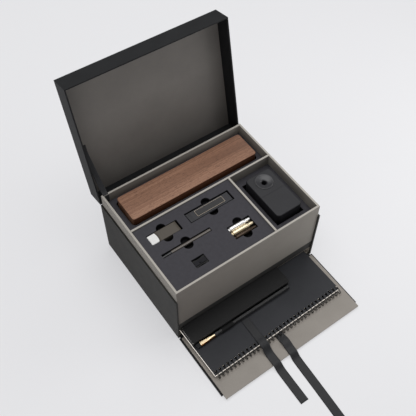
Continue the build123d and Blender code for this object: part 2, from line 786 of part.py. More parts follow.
tip_angle = link_angle - finger_sweep
half_angle = link_angle - finger_sweep / 2
first_finger = binding_shift - binding_pitch * (loop_count - 1) / 2
corner_share = 1 - math.cos(math.pi / 4)
with BuildPart() as wire_binding:
    with BuildLine(pad_plane) as wire_path:
        Line(
            wire_point(first_finger - twin_gap / 2, link_angle, -wire_diameter),
            wire_point(first_finger - twin_gap / 2, link_angle),
        )
        for i in range(loop_count):
            left = first_finger + binding_pitch * i - twin_gap / 2
            right = left + twin_gap
            for x, start, end in ((left, link_angle, half_angle), (left, half_angle, tip_angle)):
                ThreePointArc(wire_point(x, start), wire_point(x, (start + end) / 2), wire_point(x, end))
            ThreePointArc(
                wire_point(left, tip_angle),
                wire_point((left + right) / 2, tip_angle, twin_gap / 2),
                wire_point(right, tip_angle),
            )
            for x, start, end in ((right, tip_angle, half_angle), (right, half_angle, link_angle)):
                ThreePointArc(wire_point(x, start), wire_point(x, (start + end) / 2), wire_point(x, end))
            if i == loop_count - 1:
                Line(wire_point(right, link_angle), wire_point(right, link_angle, -wire_diameter))
                continue
            bend = link_corner * math.sin(math.pi / 4)
            next_left = left + binding_pitch
            ThreePointArc(
                wire_point(right, link_angle),
                wire_point(right + link_corner * corner_share, link_angle, -bend),
                wire_point(right + link_corner, link_angle, -link_corner),
            )
            Line(
                wire_point(right + link_corner, link_angle, -link_corner),
                wire_point(next_left - link_corner, link_angle, -link_corner),
            )
            ThreePointArc(
                wire_point(next_left - link_corner, link_angle, -link_corner),
                wire_point(next_left - link_corner * corner_share, link_angle, -bend),
                wire_point(next_left, link_angle),
            )
    start_plane = Plane(origin=wire_path.line @ 0, z_dir=wire_path.line % 0)
    with BuildSketch(start_plane):
        Circle(wire_diameter / 2)
    sweep(path=wire_path.line)
save(wire_binding, "wire_binding")


def least_wire_gap():
    """The least gap of the wire to itself, measured between points on neighbouring stretches."""
    steps = [link_angle - finger_sweep * i / 80 for i in range(81)]
    finger = [wire_point(-twin_gap / 2, angle) for angle in steps]
    tip = [
        wire_point(twin_gap / 2 * math.sin(turn), tip_angle, twin_gap / 2 * math.cos(turn))
        for turn in [math.radians(15 * i) for i in range(-6, 7)]
    ]
    link_start = twin_gap / 2 + link_corner
    link_end = binding_pitch - twin_gap / 2 - link_corner
    link = [
        wire_point(link_start + (link_end - link_start) * i / 20, link_angle, -link_corner) for i in range(21)
    ]
    twin = min(math.dist(point, (twin_gap / 2, point[1], point[2])) for point in finger)
    tip_to_link = min(math.dist(a, b) for a in tip for b in link)
    tip_to_start = min(math.dist(a, b) for a in tip for b in finger[:8])
    return min(twin, tip_to_link, tip_to_start) - wire_diameter


print("wire binding: least gap to itself", round(least_wire_gap(), 2), "mm")

# Tie ribbon: over the pad, round its rear edge and back beneath it, with both ends out on the table
ribbon_floor = floor_lining_top + ribbon_clearance / 2 + ribbon_thickness / 2
ribbon_on_pad = pad_top + ribbon_clearance + ribbon_thickness / 2
ribbon_over_wire = loop_z + loop_radius + wire_diameter / 2 + ribbon_clearance + ribbon_thickness / 2
ribbon_on_table = ribbon_thickness / 2 + ribbon_clearance
top_strip_x = pad_x + upper_end_shift
top_strip_y = pad_front_y + upper_end_ahead
under_strip_x = pad_x + lower_end_shift
under_strip_y = pad_front_y + lower_end_ahead


def strip_plane(x, y, drift):
    """An upright plane along the ribbon, turned from the Y axis by drift degrees."""
    turn = math.radians(drift)
    return Plane(origin=(x, y, 0), x_dir=(math.sin(turn), math.cos(turn), 0),
                 z_dir=(math.cos(turn), -math.sin(turn), 0))


def ribbon_strip(plane, points):
    """One flat stretch of the ribbon along the given points of an upright plane."""
    with BuildSketch(plane) as strip:
        with BuildLine():
            Polyline(*points)
        trace(line_width=ribbon_thickness)
    extrude(strip.sketch, amount=ribbon_width / 2, both=True)


rear_y = pad_front_y + pad_depth + ribbon_clearance
top_run = (rear_y - top_strip_y) / math.cos(math.radians(upper_end_drift))
under_run = (rear_y - under_strip_y) / math.cos(math.radians(under_pad_drift))
rear_x = top_strip_x + top_run * math.sin(math.radians(upper_end_drift))
edge_top = flap_lining_front - top_strip_y
edge_under = flap_lining_front - under_strip_y
with BuildPart() as tie_ribbon:
    ribbon_strip(
        strip_plane(top_strip_x, top_strip_y, upper_end_drift),
        (
            (top_run, ribbon_on_pad), (wire_rise_start, ribbon_on_pad),
            (wire_rise_end, ribbon_over_wire), (wire_fall_start, ribbon_over_wire),
            (wire_fall_bend, ribbon_over_wire - wire_rise_end), (wire_fall_end, ribbon_floor),
            (edge_top - 2 * ribbon_thickness, ribbon_floor),
            (edge_top - edge_fall, ribbon_on_table), (upper_end, ribbon_on_table),
        ),
    )
    ribbon_strip(
        strip_plane(under_strip_x, under_strip_y, under_pad_drift),
        ((under_run, ribbon_floor), (wire_fall_start, ribbon_floor)),
    )
    ribbon_strip(
        strip_plane(under_strip_x, under_strip_y, lower_end_drift),
        (
            (1, ribbon_floor), (edge_under - 2 * ribbon_thickness, ribbon_floor),
            (edge_under - edge_fall, ribbon_on_table), (lower_end, ribbon_on_table),
        ),
    )
    block(
        rear_x - ribbon_width / 2 - loose, rear_x + ribbon_width / 2 + loose,
        rear_y - ribbon_thickness, rear_y + ribbon_thickness,
        ribbon_floor - ribbon_thickness / 2, ribbon_on_pad + ribbon_thickness / 2,
    )
save(tie_ribbon, "tie_ribbon")

# Slim case on the pad: a base with a card liner, a cover hinged at the back and a pencil loop in front
slim_bottom = pad_top + slim_above_pad
slim_top = slim_bottom + slim_height
slim_back = tray_front - loose - slim_behind
slim_front = slim_back - slim_depth
slim_y = (slim_front + slim_back) / 2
slim_base_top = slim_top - slim_cover - slim_liner_proud - loose
with BuildPart() as slim_case_base:
    rounded_tray(
        slim_x, slim_y, slim_length, slim_depth, slim_corner, slim_wall, slim_bottom, slim_base_top,
    )
save(slim_case_base, "slim_case_base")

liner_length = slim_length - 2 * slim_wall
liner_depth = slim_depth - 2 * slim_wall
liner_top = slim_base_top + slim_liner_proud
with BuildPart() as slim_case_liner:
    rounded_tray(
        slim_x, slim_y, liner_length, liner_depth, slim_corner - slim_wall, slim_liner_wall,
        slim_bottom + slim_wall, liner_top,
    )
save(slim_case_liner, "slim_case_liner")

with BuildPart() as slim_case_cover:
    rounded_block(
        slim_x, slim_y, slim_length, slim_depth, slim_corner, slim_top - slim_cover, slim_top,
    )
    fillet(slim_case_cover.faces().sort_by(Axis.Z)[-1].edges(), cover_groove)
    block(
        slim_x - slim_length / 2, slim_x + slim_length / 2,
        slim_front + cover_groove_inset, slim_front + cover_groove_inset + cover_groove,
        slim_top - cover_groove, slim_top, mode=Mode.SUBTRACT,
    )
save(slim_case_cover, "slim_case_cover")

barrel_radius = barrel_flats / 2 / math.cos(math.pi / 6)
loop_inner = barrel_radius + loop_clearance
loop_outer = loop_inner + loop_band
pencil_y = slim_front - loop_outer
pencil_z = slim_bottom + loop_outer - loop_sink
loop_band_x = slim_left + loop_band_from_left
with BuildPart() as pen_loop:
    with BuildSketch(Plane.YZ.offset(loop_band_x)):
        with Locations((pencil_y, pencil_z)):
            Circle(loop_outer)
        with Locations((slim_front - loop_band / 2, (pencil_z + slim_base_top) / 2)):
            Rectangle(loop_band, slim_base_top - pencil_z)
        with Locations((pencil_y, pencil_z)):
            Circle(loop_inner, mode=Mode.SUBTRACT)
    extrude(amount=loop_band_width / 2, both=True)
save(pen_loop, "pen_loop")

# Pencil: a six-sided barrel, its lead, a ferrule that runs from round to flat and a flat eraser
pencil_left = slim_left + pencil_from_left
ferrule_left = pencil_left + tip_eraser_length
barrel_left = ferrule_left + ferrule_length
pencil_right = pencil_left + pencil_length
with BuildPart() as pencil_barrel:
    with BuildSketch(Plane.YZ.offset(barrel_left)):
        with Locations((pencil_y, pencil_z)):
            RegularPolygon(barrel_radius, 6)
    extrude(amount=pencil_right - barrel_left)
    with BuildSketch(Plane.YZ.offset(pencil_right - lead_length)):
        with Locations((pencil_y, pencil_z)):
            Circle(lead_radius)
    extrude(amount=lead_length, mode=Mode.SUBTRACT)
save(pencil_barrel, "pencil_barrel")

with BuildPart() as pencil_lead:
    with BuildSketch(Plane.YZ.offset(pencil_right - lead_length)):
        with Locations((pencil_y, pencil_z)):
            Circle(lead_radius)
    extrude(amount=lead_length)
save(pencil_lead, "pencil_lead")

with BuildPart() as pencil_ferrule:
    with BuildSketch(Plane.YZ.offset(ferrule_left)):
        with Locations((pencil_y, pencil_z)):
            RectangleRounded(ferrule_width, ferrule_height, rim_round)
    with BuildSketch(Plane.YZ.offset(barrel_left - ferrule_collar)):
        with Locations((pencil_y, pencil_z)):
            RectangleRounded(2 * barrel_radius, 2 * barrel_radius, barrel_radius - rim_round)
    loft()
    with BuildSketch(Plane.YZ.offset(barrel_left - ferrule_collar)):
        with Locations((pencil_y, pencil_z)):
            Circle(barrel_radius)
    extrude(amount=ferrule_collar)
save(pencil_ferrule, "pencil_ferrule")

with BuildPart() as pencil_eraser:
    with BuildSketch(Plane.YZ.offset(pencil_left)):
        with Locations((pencil_y, pencil_z)):
            RectangleRounded(ferrule_width - rim_round, ferrule_height - rim_round, rim_round)
    extrude(amount=tip_eraser_length)
save(pencil_eraser, "pencil_eraser")
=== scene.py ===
import math

import bmesh
import bpy
from mathutils import Matrix, Vector


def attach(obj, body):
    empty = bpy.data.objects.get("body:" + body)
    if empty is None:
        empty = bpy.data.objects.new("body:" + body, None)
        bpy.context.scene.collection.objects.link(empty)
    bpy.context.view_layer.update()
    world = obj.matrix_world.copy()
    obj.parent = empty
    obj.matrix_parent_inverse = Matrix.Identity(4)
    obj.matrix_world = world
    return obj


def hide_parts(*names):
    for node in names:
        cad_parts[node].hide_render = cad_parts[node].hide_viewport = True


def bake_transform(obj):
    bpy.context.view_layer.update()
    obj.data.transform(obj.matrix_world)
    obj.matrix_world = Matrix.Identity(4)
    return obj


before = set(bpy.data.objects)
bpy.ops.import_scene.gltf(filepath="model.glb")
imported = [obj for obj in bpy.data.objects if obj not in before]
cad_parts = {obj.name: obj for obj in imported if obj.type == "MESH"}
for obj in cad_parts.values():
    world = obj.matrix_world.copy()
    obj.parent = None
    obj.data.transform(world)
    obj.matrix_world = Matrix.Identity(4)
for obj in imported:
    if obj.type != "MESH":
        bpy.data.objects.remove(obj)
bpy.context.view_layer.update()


# Camera
# A 58 mm lens looks down on the front left corner of the case, as in the photograph. The picture was
# cut out of a larger one, so the lens's middle lies a little off the picture's middle.
def new_object(name, data):
    """An object of the scene that shows the given data."""
    made = bpy.data.objects.new(name, data)
    bpy.context.collection.objects.link(made)
    return made


picture_width = 416
focal_pixels = 665.3
middle_u, middle_v = 238.05, 216.85
sensor_width = 36
camera_place = Vector((-0.40662, -0.55486, 1.10619))
heading, dip, roll = (math.radians(a) for a in (40.37, 55.27, 4.56))

forward = Vector((math.sin(heading) * math.cos(dip), math.cos(heading) * math.cos(dip), -math.sin(dip)))
level_right = Vector((math.cos(heading), -math.sin(heading), 0))
level_up = level_right.cross(forward)
right = level_right * math.cos(roll) + level_up * math.sin(roll)
up = level_up * math.cos(roll) - level_right * math.sin(roll)
lens = bpy.data.cameras.new("camera")
lens.sensor_width = sensor_width
lens.lens = sensor_width * focal_pixels / picture_width
lens.shift_x = (picture_width / 2 - middle_u) / picture_width
lens.shift_y = (middle_v - picture_width / 2) / picture_width
camera = new_object("camera", lens)
turn = Matrix((right, up, -forward)).transposed().to_4x4()
camera.matrix_world = Matrix.Translation(camera_place) @ turn
bpy.context.scene.camera = camera
bpy.context.scene.view_settings.view_transform = "Standard"


# Table and studio light
# The set stands on a pale, lightly glowing acrylic table under a very large soft lamp overhead. A lamp at
# the right rakes the front, and one at the left lights the black side. Faces that look forward stay dark.
def linear(code):
    """The linear colour of an sRGB hex code."""
    parts = [int(code[i:i + 2], 16) / 255 for i in (0, 2, 4)]
    return tuple(c / 12.92 if c <= 0.04045 else ((c + 0.055) / 1.055) ** 2.4 for c in parts) + (1.0,)


def join(tree, node, links):
    """Links a node's inputs from other nodes' outputs."""
    for key, source in links.items():
        tree.links.new(source, node.inputs[key])


def add(tree, kind, settings=None, links=None):
    """Adds a node, sets its sockets and properties, and links its inputs."""
    made = tree.nodes.new(kind)
    for key, value in (settings or {}).items():
        if isinstance(key, int) or key in made.inputs:
            made.inputs[key].default_value = value
        else:
            setattr(made, key, value)
    join(tree, made, links or {})
    return made


def rescaled(tree, value, source=(0, 1), target=(0, 1)):
    """A socket's value carried from one range to another, and held at the ends."""
    ends = {"From Min": source[0], "From Max": source[1], "To Min": target[0], "To Max": target[1]}
    return add(tree, "ShaderNodeMapRange", ends, {"Value": value}).outputs["Result"]


def new_material(name, settings):
    """A material, its node tree and its Principled shader, which has the settings and is its surface."""
    material = bpy.data.materials.new(name)
    material.use_nodes = True
    tree = material.node_tree
    tree.nodes.clear()
    shader = add(tree, "ShaderNodeBsdfPrincipled", settings)
    add(tree, "ShaderNodeOutputMaterial", links={"Surface": shader.outputs["BSDF"]})
    return material, tree, shader


def grid_mesh(name, rows, material, around=False):
    """A smooth mesh through rows of points. With around, each row closes on itself."""
    count = len(rows[0])
    spans = count if around else count - 1
    faces = [
        (r * count + c, r * count + (c + 1) % count, (r + 1) * count + (c + 1) % count, (r + 1) * count + c)
        for r in range(len(rows) - 1) for c in range(spans)
    ]
    mesh = bpy.data.meshes.new(name)
    mesh.from_pydata([tuple(p) for row in rows for p in row], [], faces)
    mesh.polygons.foreach_set("use_smooth", [True] * len(faces))
    mesh.materials.append(material)
    return new_object(name, mesh)


# The glow from below keeps the set's shadows on the table faint, as on a studio light table.
opal_table = new_material("opal_light_table", {
    "Base Color": linear("A9A9AA"), "Roughness": 0.9, "Specular IOR Level": 0.1,
    "Emission Color": linear("FCFCFF"), "Emission Strength": 0.48,
})[0]
reach = 6.0
table = grid_mesh("table", [[(x * reach, y * reach, 0) for x in (-1, 1)] for y in (-1, 1)], opal_table)

# The room lights the set faintly, but the camera sees it as pale as the table.
room_light, room_seen = 0.16, 0.82
world = bpy.data.worlds.new("studio")
bpy.context.scene.world = world
world.use_nodes = True
room = world.node_tree.nodes["Background"]
room.inputs["Color"].default_value = linear("F4F5F7")
seen = add(world.node_tree, "ShaderNodeLightPath").outputs["Is Camera Ray"]
join(world.node_tree, room, {"Strength": rescaled(world.node_tree, seen, target=(room_light, room_seen))})


def soft_lamp(name, place, target, size, power):
    """A square area lamp at a place, turned to a target, of a size in metres and a power in watts."""
    data = bpy.data.lights.new(name, "AREA")
    data.size = size
    data.energy = power
    lamp = new_object(name, data)
    lamp.location = place
    lamp.rotation_euler = (Vector(target) - Vector(place)).to_track_quat("-Z", "Y").to_euler()


soft_lamp("overhead", (0.2, 0.5, 2.2), (0, 0, 0.05), 2.4, 42)
soft_lamp("right_rake", (0.9, -0.42, 0.55), (0.1, -0.15, 0.08), 0.6, 2.6)
soft_lamp("left_fill", (-1.4, -1.0, 0.8), (0, -0.1, 0.05), 1.0, 3.0)


# Ribbons
# Black grosgrain, a ribbed weave with a dull sheen. The wide one ties the pad shut: it goes round the
# pad and both cut ends lie out on the table. The narrow one is glued to the lid and holds it open.
route_step = 0.003
ribbon_thickness = 0.0004
ribbon_spans = 8


def route(points):
    """Evenly spaced points on a smooth curve through given ones, by a NURBS spline."""
    data = bpy.data.curves.new("route", "CURVE")
    data.dimensions = "3D"
    spline = data.splines.new("NURBS")
    spline.points.add(len(points) - 1)
    for place, point in zip(points, spline.points):
        point.co = (*place, 1)
    spline.order_u = 3
    spline.use_endpoint_u = True
    data.resolution_u = 12
    holder = bpy.data.objects.new("route", data)
    mesh = bpy.data.meshes.new_from_object(holder)
    line = [vertex.co.copy() for vertex in mesh.vertices]
    bpy.data.objects.remove(holder)
    spaced, spare = [line[0]], 0.0
    for a, b in zip(line, line[1:]):
        run = (b - a).length
        while spare + run >= route_step:
            a = a.lerp(b, (route_step - spare) / run)
            run = (b - a).length
            spaced.append(a)
            spare = 0.0
        spare += run
    return spaced + [line[-1]]


def walk(line):
    """Each point of a line, the direction ahead, and a side direction that starts as X and never twists."""
    side = Vector((1, 0, 0))
    for i, place in enumerate(line):
        ahead = (line[min(i + 1, len(line) - 1)] - line[max(i - 1, 0)]).normalized()
        side = (side - ahead * side.dot(ahead)).normalized()
        yield place, ahead, side


def two_tones(tree, dark, light, factor):
    """A colour between two hex tones, by a 0 to 1 socket."""
    tones = {"data_type": "RGBA", 6: linear(dark), 7: linear(light)}
    return add(tree, "ShaderNodeMix", tones, {"Factor": factor}).outputs[2]


def relief(tree, height, strength, depth):
    """The surface's normal, raised by a 0 to 1 height over a depth in metres."""
    bump = add(tree, "ShaderNodeBump", {"Strength": strength, "Distance": depth}, {"Height": height})
    return bump.outputs["Normal"]


# Fine ribs across the ribbon break its shine into lines, and a faint mottle keeps the black alive.
grosgrain, tree, shader = new_material("black_grosgrain", {"Roughness": 0.62, "Sheen Weight": 0.1})
# A wave texture of scale 1 has its bands a tenth of pi apart.
rib_spacing, rib_depth = 0.0011844, 0.0001
weave = add(tree, "ShaderNodeUVMap", {"uv_map": "weave"}).outputs["UV"]
ribs = add(tree, "ShaderNodeTexWave", {"bands_direction": "Y", "Scale": math.pi / 10 / rib_spacing},
           {"Vector": weave})
mottle = add(tree, "ShaderNodeTexNoise", {"Scale": 260, "Detail": 3}, {"Vector": weave})
join(tree, shader, {
    "Base Color": two_tones(tree, "121315", "222327", mottle.outputs["Fac"]),
    "Normal": relief(tree, ribs.outputs["Fac"], 0.5, rib_depth),
})


def ribbon(name, points, width):
    """A flat ribbon of even width along a route, and its length. Its UV map is in metres."""
    line = route([Vector(p) for p in points])
    rows = [
        [place + side * width * (c / ribbon_spans - 0.5) for c in range(ribbon_spans + 1)]
        for place, ahead, side in walk(line)
    ]
    made = grid_mesh(name, rows, grosgrain)
    layer = made.data.uv_layers.new(name="weave")
    for loop in made.data.loops:
        row, column = divmod(loop.vertex_index, ribbon_spans + 1)
        layer.data[loop.index].uv = (column / ribbon_spans * width, row * route_step)
    solid = made.modifiers.new("thickness", "SOLIDIFY")
    solid.thickness = ribbon_thickness
    solid.offset = 0
    return made, sum((b - a).length for a, b in zip(line, line[1:]))


ribbon_width = 0.016
tie_route = (
    (-0.0450, -0.3435, 0.0006), (-0.0446, -0.3250, 0.0009), (-0.0440, -0.3050, 0.0006),
    (-0.0434, -0.2850, 0.0006), (-0.0431, -0.2740, 0.0012), (-0.0430, -0.2680, 0.0052),
    (-0.0429, -0.2630, 0.0078), (-0.0427, -0.2560, 0.0066), (-0.0425, -0.2480, 0.0062),
    (-0.0424, -0.2410, 0.0066), (-0.0422, -0.2345, 0.0105), (-0.0421, -0.2295, 0.0158),
    (-0.0420, -0.2240, 0.0178), (-0.0420, -0.2170, 0.0176), (-0.0418, -0.2110, 0.0153),
    (-0.0414, -0.1950, 0.0151), (-0.0405, -0.1500, 0.0151), (-0.0395, -0.1000, 0.0151),
    (-0.0380, -0.0500, 0.0151), (-0.0373, -0.0270, 0.0151), (-0.0371, -0.0212, 0.0151),
    (-0.0371, -0.0212, 0.0110), (-0.0371, -0.0212, 0.0060), (-0.0368, -0.0270, 0.0059),
    (-0.0330, -0.0500, 0.0059), (-0.0250, -0.1000, 0.0059), (-0.0170, -0.1500, 0.0059),
    (-0.0095, -0.2000, 0.0058), (-0.0062, -0.2200, 0.0057), (-0.0055, -0.2290, 0.0058),
    (-0.0055, -0.2360, 0.0092), (-0.0057, -0.2440, 0.0096), (-0.0060, -0.2520, 0.0066),
    (-0.0065, -0.2590, 0.0070), (-0.0069, -0.2640, 0.0078), (-0.0071, -0.2685, 0.0050),
    (-0.0074, -0.2740, 0.0012), (-0.0080, -0.2850, 0.0006), (-0.0092, -0.3100, 0.0010),
    (-0.0105, -0.3400, 0.0006), (-0.0122, -0.3700, 0.0011), (-0.0138, -0.4000, 0.0006),
    (-0.0148, -0.4262, 0.0006),
)
tie_ribbon, tie_length = ribbon("tie_ribbon_woven", tie_route, ribbon_width)
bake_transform(tie_ribbon)
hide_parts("tie_ribbon")

stay_width = 0.010
stay_route = (
    (-0.1440, 0.1144, 0.1390), (-0.1440, 0.1144, 0.1480), (-0.1440, 0.1144, 0.1560),
    (-0.1440, 0.1150, 0.1592), (-0.1440, 0.1195, 0.1595), (-0.1440, 0.1260, 0.1655),
    (-0.1440, 0.1450, 0.1855), (-0.1440, 0.1640, 0.2060), (-0.1440, 0.1716, 0.2140),
    (-0.1440, 0.1740, 0.2230), (-0.1440, 0.1759, 0.2325),
)
stay_ribbon, stay_length = ribbon("stay_ribbon_woven", stay_route, stay_width)
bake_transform(stay_ribbon)
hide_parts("stay_ribbon")


# Case boards
# Greyboard wrapped in black uncoated paper. The wrap is matt and slightly fibrous, and its folded edges
# are rounded by the thickness of the paper.

# Painted shade in a pocket: the colour falls to pocket_light of itself, from pocket_lip under the rim to
# pocket_shade.
pocket_lip, pocket_shade, pocket_light = 0.0006, 0.003, 0.12
roughness_spread = 0.06


def mottled(name, dark, light, blotch, grain, roughness, depth=0.00005, specular=0.3, rim=None):
    """A dull surface of two tones in soft blotches, with a fine grain in relief. Sizes are in metres.
    With rim, shade is painted into the colour: it darkens in the first 3 mm below that height, as inside a
    cut pocket."""
    material, tree, shader = new_material(name, {"Specular IOR Level": specular})
    place = add(tree, "ShaderNodeTexCoord").outputs["Object"]
    broad = add(tree, "ShaderNodeTexNoise", {"Scale": 1 / blotch, "Detail": 4, "Roughness": 0.6},
                {"Vector": place})
    grains = add(tree, "ShaderNodeTexNoise", {"Scale": 1 / grain, "Detail": 2}, {"Vector": place})
    fine = grains.outputs["Fac"]
    both = add(tree, "ShaderNodeMix", {"data_type": "FLOAT", "Factor": 0.4},
               {2: broad.outputs["Fac"], 3: fine})
    colour = two_tones(tree, dark, light, rescaled(tree, both.outputs[0], (0.3, 0.7)))
    if rim:
        height = add(tree, "ShaderNodeSeparateXYZ", links={"Vector": place}).outputs["Z"]
        lit = rescaled(tree, height, (rim - pocket_shade, rim - pocket_lip), (pocket_light, 1))
        shaded = add(tree, "ShaderNodeVectorMath", {"operation": "SCALE"}, {0: colour, "Scale": lit})
        colour = shaded.outputs["Vector"]
    dull = rescaled(tree, fine, target=(roughness - roughness_spread, roughness + roughness_spread))
    join(tree, shader, {"Base Color": colour, "Roughness": dull, "Normal": relief(tree, fine, 0.6, depth)})
    return material


def tint_by(material, factor, floor):
    """Scales a material's colour by a 0 to 1 socket: at 0 it is floor times the colour, at 1 the colour."""
    tree = material.node_tree
    socket = tree.nodes["Principled BSDF"].inputs["Base Color"]
    scale = add(tree, "ShaderNodeMix", {"data_type": "VECTOR", 4: floor, 5: (1, 1, 1)}, {0: factor})
    product = add(tree, "ShaderNodeVectorMath", {"operation": "MULTIPLY"}, {1: scale.outputs[1]})
    if socket.is_linked:
        tree.links.new(socket.links[0].from_socket, product.inputs[0])
    else:
        product.inputs[0].default_value = socket.default_value[:3]
    tree.links.new(product.outputs["Vector"], socket)


def ramp_on(material, space, axis, low, high, middle=None):
    """A 0 to 1 socket that rises from low to high along one axis of a material's Object or Normal space.
    With middle, the value is the distance from it."""
    tree = material.node_tree
    kind = "ShaderNodeNewGeometry" if space == "Normal" else "ShaderNodeTexCoord"
    source = add(tree, kind).outputs[space]
    value = add(tree, "ShaderNodeSeparateXYZ", links={"Vector": source}).outputs[axis]
    if middle is not None:
        offset = add(tree, "ShaderNodeMath", {"operation": "SUBTRACT", 1: middle}, {0: value})
        value = add(tree, "ShaderNodeMath", {"operation": "ABSOLUTE"}, {0: offset.outputs[0]}).outputs[0]
    return rescaled(tree, value, (low, high))


def shade_along(material, space, axis, low, high, floor, middle=None):
    """Shades a material from floor times its colour at low to its full colour at high, along an axis."""
    tint_by(material, ramp_on(material, space, axis, low, high, middle), floor)


def soften(piece, edge, segments, angle):
    """Rounds a piece's edges that turn by more than an angle in degrees."""
    bevel = piece.modifiers.new("soft_edge", "BEVEL")
    bevel.width = edge
    bevel.segments = segments
    bevel.limit_method = "ANGLE"
    bevel.angle_limit = math.radians(angle)


def dress(name, material, edge=0.0004, segments=2):
    """Gives a carried-over piece its material and takes the sharpness off its edges."""
    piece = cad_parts[name]
    piece.data.materials.clear()
    piece.data.materials.append(material)
    if edge:
        soften(piece, edge, segments, angle=40)


# The wrap is a soft charcoal with faint clouds and no shine. On the left side shade is painted into its
# colour, darker towards the back.
black_paper = mottled("black_wrap_paper", "2E2E2D", "403F3C", 0.03, 0.0006, 0.72)
side_paper = mottled("black_side_paper", "2E2E2D", "403F3C", 0.03, 0.0006, 0.72)
shade_along(side_paper, "Object", "Y", 0.11, -0.08, (0.52, 0.49, 0.46))
dress("left_side", side_paper)
for name in ("base_board", "right_side", "back_board", "front_rail", "compartment_ceiling",
             "tool_platform", "walnut_platform"):
    dress(name, black_paper)

# The hinges are a darker, closely woven book cloth that shows as a dull band.
book_cloth = mottled("black_book_cloth", "1F1F20", "2E2E2F", 0.004, 0.0005, 0.85)
dress("lid_hinge_cloth", book_cloth, 0.0001)
dress("flap_hinge_cloth", book_cloth, 0.0001)

# Compartment lining, tray frame and dividers
# The same board wrapped in taupe paper, a warm grey. The tray stands up inside the black sides as the
# neck that the lid closes over.
taupe_paper = mottled("taupe_wrap_paper", "908A82", "9C968E", 0.04, 0.0006, 0.7)
dress("tray_floor", taupe_paper)
dress("compartment_lining", taupe_paper)

# On the frame light and shade are painted in: a paler copy of the taupe, palest on the top edges and
# darkest on what looks forward at the left.
rim_paper = mottled("taupe_rim_paper", "B3AEA6", "BDB8B0", 0.04, 0.0006, 0.7)
shade_along(rim_paper, "Normal", "Z", 0.2, 0.8, (0.7, 0.69, 0.68))
looks_back = ramp_on(rim_paper, "Normal", "Y", -0.9, -0.5)
to_right = ramp_on(rim_paper, "Object", "X", -0.15, 0.15)
lit = add(rim_paper.node_tree, "ShaderNodeMath", {"operation": "MAXIMUM"}, {0: looks_back, 1: to_right})
tint_by(rim_paper, lit.outputs[0], (0.6, 0.58, 0.58))
dress("tray_frame", rim_paper)

# The dividers have light and shade painted in like the frame's: a pale top edge, and sides in deep painted
# shade.
wall_paper = mottled("taupe_divider_paper", "B3AEA6", "BDB8B0", 0.04, 0.0006, 0.7)
shade_along(wall_paper, "Normal", "Z", 0.2, 0.8, (0.42, 0.41, 0.41))
dress("long_divider", wall_paper)
dress("cross_divider", wall_paper)

# The compartment's floor has a little padding, which rounds its edges and blurs the grain.
taupe_pad = mottled("taupe_padded_paper", "88827A", "959087", 0.05, 0.0008, 0.66)
dress("compartment_floor", taupe_pad, 0.001, 3)

# Foam inserts
# Black flocked foam, cut with pockets that fit the tools. Its short pile drinks the light and shows a fine
# speckle. The cut edges are crisp, and shade is painted into the pockets, darker below the foam's top.
for name, top in (("tool_foam", 0.156), ("walnut_foam", 0.138), ("sharpener_foam", 0.135)):
    flocked = mottled("flocked_" + name, "424145", "4B4A4F", 0.006, 0.0007, 0.95,
                      depth=0.0002, specular=0.15, rim=top)
    dress(name, flocked, 0.0005)

# Lid
# A shallow tray of greyboard in black paper, which leans back on its cloth hinge. A padded taupe panel
# is glued inside its top.

# The lid's outside leans away from the lamps, and that shade is painted in: its wrap is a darker copy of
# the black paper, nearly black.
lid_paper = mottled("black_lid_paper", "131416", "1E1F21", 0.03, 0.0006, 0.66)
dress("lid_shell", lid_paper)

# The padding is a mid taupe, with shade painted in that grows darker towards the hinge.
lid_pad = mottled("taupe_lid_padding", "7A7672", "85817C", 0.05, 0.0008, 0.66)
shade_along(lid_pad, "Object", "Z", 0.15, 0.27, (0.66, 0.65, 0.65))
dress("lid_lining", lid_pad, 0.0012, 3)

# Front flap
# A board in black book cloth that hinges at the case's foot and lies out on the table. A padded taupe
# lining is glued on it and reaches past its edge.
dress("flap_board", book_cloth)

# The lining lies open to the lamp above, so its taupe is pale and even.
flap_pad = mottled("taupe_flap_padding", "948E87", "A09A93", 0.05, 0.0008, 0.66)
dress("flap_lining", flap_pad, 0.0012, 3)

# Walnut box
# Solid American walnut with an oil finish: a hollow base with a fitted lid. The grain runs the long way,
# in darker lines a few millimetres apart, with short open pores between them.
walnut, tree, shader = new_material("oiled_walnut", {"Roughness": 0.5})
place = add(tree, "ShaderNodeTexCoord").outputs["Object"]
grain_way = add(tree, "ShaderNodeMapping", {"Scale": (0.008, 1, 1)}, {"Vector": place}).outputs["Vector"]
warp = add(tree, "ShaderNodeTexNoise", {"Scale": 30, "Detail": 3}, {"Vector": grain_way})
rings = add(tree, "ShaderNodeTexNoise", {"Scale": 420, "Detail": 6, "Roughness": 0.6},
            {"Vector": grain_way})
mixed = add(tree, "ShaderNodeMix", {"data_type": "FLOAT", "Factor": 0.5},
            {2: rings.outputs["Fac"], 3: warp.outputs["Fac"]})

# Dark lines, the wood between them and its palest streaks.
grain = add(tree, "ShaderNodeValToRGB", links={"Fac": mixed.outputs[0]})
ramp = grain.color_ramp
ramp.elements[0].position = 0.32
ramp.elements[0].color = linear("6B452F")
ramp.elements[1].position = 0.70
ramp.elements[1].color = linear("B98F74")
between = ramp.elements.new(0.5)
between.color = linear("9D735A")

# The pores are dark dashes along the grain, sunk a tenth of a millimetre.
pore_way = add(tree, "ShaderNodeMapping", {"Scale": (0.12, 1, 1)}, {"Vector": place}).outputs["Vector"]
pores = add(tree, "ShaderNodeTexNoise", {"Scale": 1500, "Detail": 2}, {"Vector": pore_way})
solid_wood = rescaled(tree, pores.outputs["Fac"], (0.34, 0.44))
toned = add(tree, "ShaderNodeMix", {"data_type": "RGBA", 6: linear("6E4A37")},
            {"Factor": solid_wood, 7: grain.outputs["Color"]})
join(tree, shader, {"Base Color": toned.outputs[2], "Normal": relief(tree, solid_wood, 0.25, 0.0001)})
